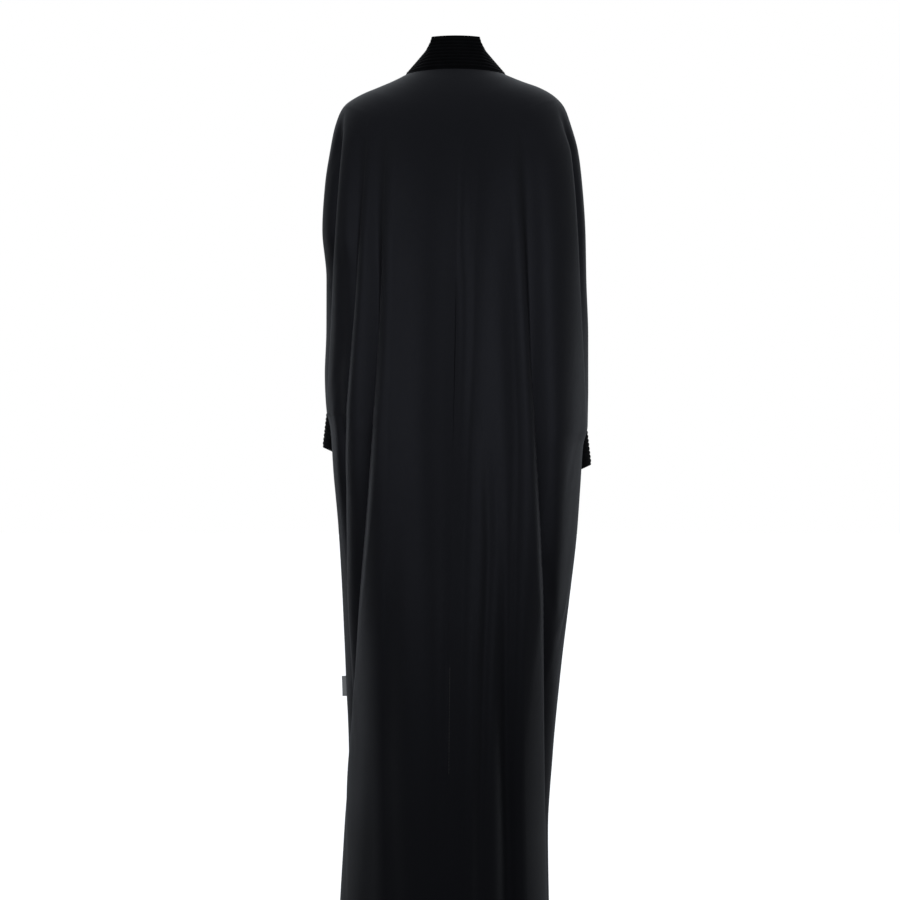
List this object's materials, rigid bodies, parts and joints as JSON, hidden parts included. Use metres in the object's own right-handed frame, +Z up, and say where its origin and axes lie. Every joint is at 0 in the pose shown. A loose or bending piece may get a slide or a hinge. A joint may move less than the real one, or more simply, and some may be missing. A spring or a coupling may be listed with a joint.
{
  "type": "abaya cloak",
  "caption": "Long black open abaya cut like a cloak and shaped as worn, with sleeves cut in one with the body, a pin-tucked velvet collar band and matching cuffs.",
  "frame": {"origin": "midway between the two shoulder points of the neckline, just above the seam at the nape, which is where the wearer holds the garment up", "axes": "+Z up, +Y towards the wearer's front, +X towards the wearer's right hand"},
  "size_m": [0.4548, 0.41, 1.5099],
  "materials": {
    "crepe": "matte black crepe",
    "velvet": "black velvet with pin tucks",
    "label": "plain woven tape, blank"
  },
  "bodies": {
    "root": {"back_left": "crepe", "back_right": "crepe", "front_left": "crepe", "front_right": "crepe", "collar_band": "velvet", "cuff_left": "velvet", "cuff_right": "velvet", "side_label": "label"}
  },
  "joints": []
}
